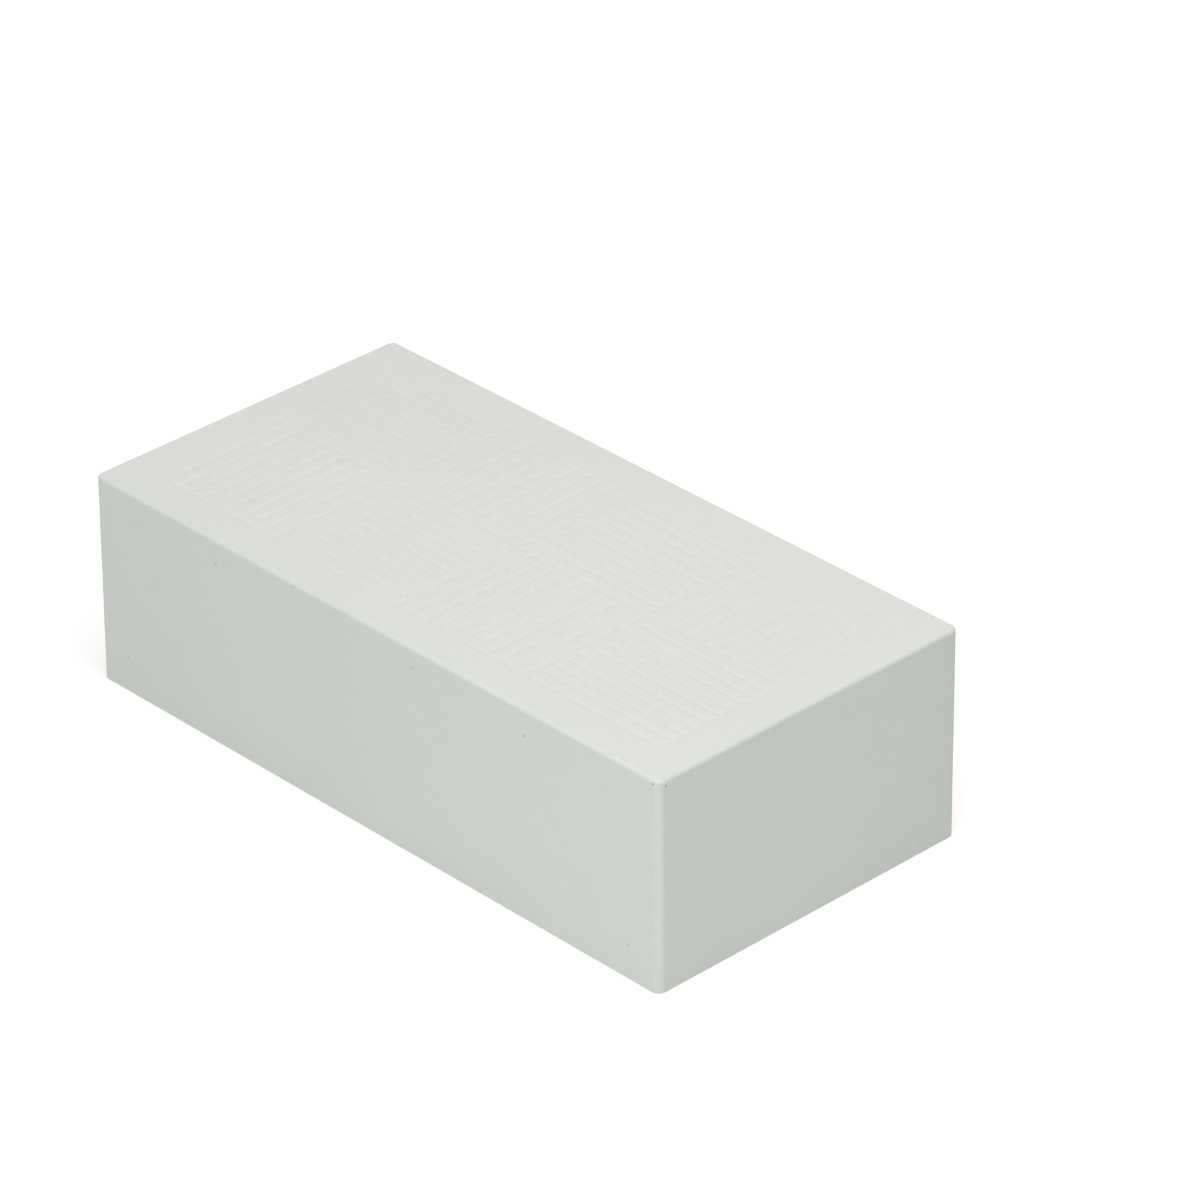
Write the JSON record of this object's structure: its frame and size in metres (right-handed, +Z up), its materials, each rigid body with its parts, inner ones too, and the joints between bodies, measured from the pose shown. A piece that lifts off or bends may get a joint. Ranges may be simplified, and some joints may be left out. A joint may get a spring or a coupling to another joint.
{
  "type": "entry step",
  "caption": "One-piece moulded plastic entry step: open-bottomed rectangular shell with a ribbed underside and a tread of raised anti-slip bars in a basket weave.",
  "frame": {"origin": "on the floor, under the centre of the tread", "axes": "+X along the length, +Y towards the door side, +Z up; the picture looks from the +X, -Y, +Z side"},
  "size_m": [0.6, 0.3, 0.175],
  "materials": {
    "moulded_plastic": "fine-grained satin moulding, pale grey with a slight green cast"
  },
  "bodies": {
    "root": {"entry_step": "moulded_plastic"}
  },
  "joints": []
}
